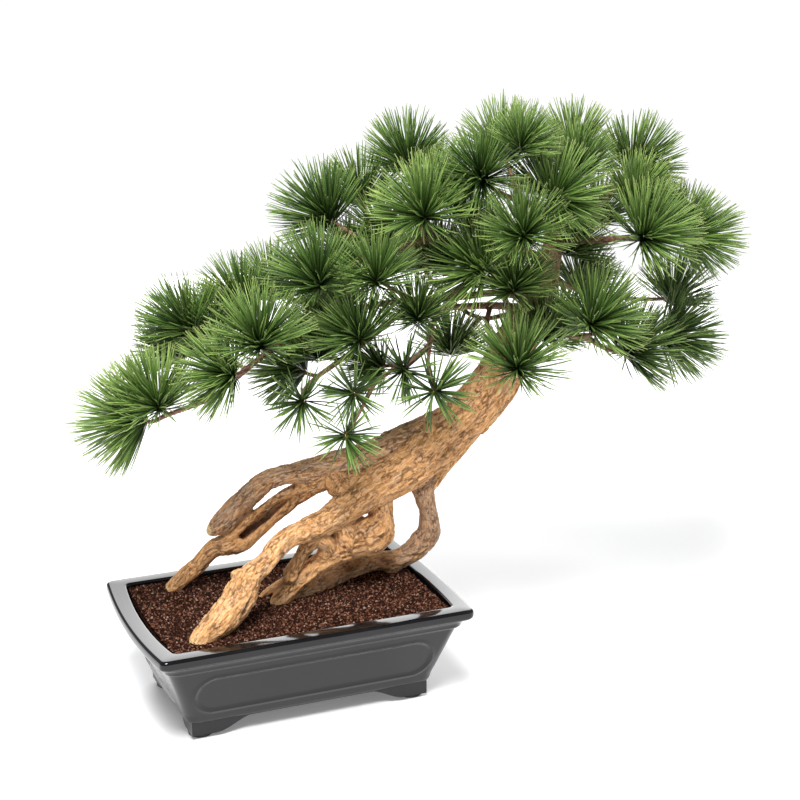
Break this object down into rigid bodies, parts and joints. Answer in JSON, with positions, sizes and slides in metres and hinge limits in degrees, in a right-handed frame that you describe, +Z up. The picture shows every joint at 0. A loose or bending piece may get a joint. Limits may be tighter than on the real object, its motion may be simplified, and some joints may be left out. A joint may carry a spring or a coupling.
{
  "type": "potted bonsai pine",
  "caption": "Slanting exposed-root pine bonsai with needle tufts, in a glazed rectangular pot with ogee feet.",
  "frame": {"origin": "on the floor, under the middle of the plant's whole footprint", "axes": "+X along the pot's long side, the way the tree leans, +Y towards the back, +Z up"},
  "size_m": [0.7818, 0.379, 0.6677],
  "materials": {
    "glaze": "gloss",
    "soil": "matte",
    "pad_rubber": "matte",
    "net_plastic": "matte",
    "bark": "matte",
    "twig_bark": "matte",
    "needles": "satin"
  },
  "bodies": {
    "root": {"pot": "glaze", "soil": "soil", "foot_pad_front_left": "pad_rubber", "foot_pad_front_right": "pad_rubber", "foot_pad_back_left": "pad_rubber", "foot_pad_back_right": "pad_rubber", "drain_net_left": "net_plastic", "drain_net_right": "net_plastic", "trunk": "bark", "lower_left_limb": "twig_bark", "middle_left_limb": "twig_bark", "far_left_limb": "twig_bark", "upper_left_limb": "twig_bark", "crown_limb": "twig_bark", "right_upper_limb": "twig_bark", "right_lower_limb": "twig_bark", "right_middle_limb": "twig_bark", "back_limb": "twig_bark", "needle_tuft_01": "needles", "needle_tuft_02": "needles", "needle_tuft_03": "needles", "needle_tuft_04": "needles", "needle_tuft_05": "needles", "needle_tuft_06": "needles", "needle_tuft_07": "needles", "needle_tuft_08": "needles", "needle_tuft_09": "needles", "needle_tuft_10": "needles", "needle_tuft_11": "needles", "needle_tuft_12": "needles", "needle_tuft_13": "needles", "needle_tuft_14": "needles", "needle_tuft_15": "needles", "needle_tuft_16": "needles", "needle_tuft_17": "needles", "needle_tuft_18": "needles", "needle_tuft_19": "needles", "needle_tuft_20": "needles", "needle_tuft_21": "needles", "needle_tuft_22": "needles", "needle_tuft_23": "needles", "needle_tuft_24": "needles", "needle_tuft_25": "needles", "needle_tuft_26": "needles", "needle_tuft_27": "needles", "needle_tuft_28": "needles", "needle_tuft_29": "needles", "needle_tuft_30": "needles", "needle_tuft_31": "needles", "needle_tuft_32": "needles", "needle_tuft_33": "needles", "needle_tuft_34": "needles", "needle_tuft_35": "needles", "needle_tuft_36": "needles", "needle_tuft_37": "needles", "needle_tuft_38": "needles", "needle_tuft_39": "needles", "needle_tuft_40": "needles", "needle_tuft_41": "needles", "needle_tuft_42": "needles"}
  },
  "joints": []
}
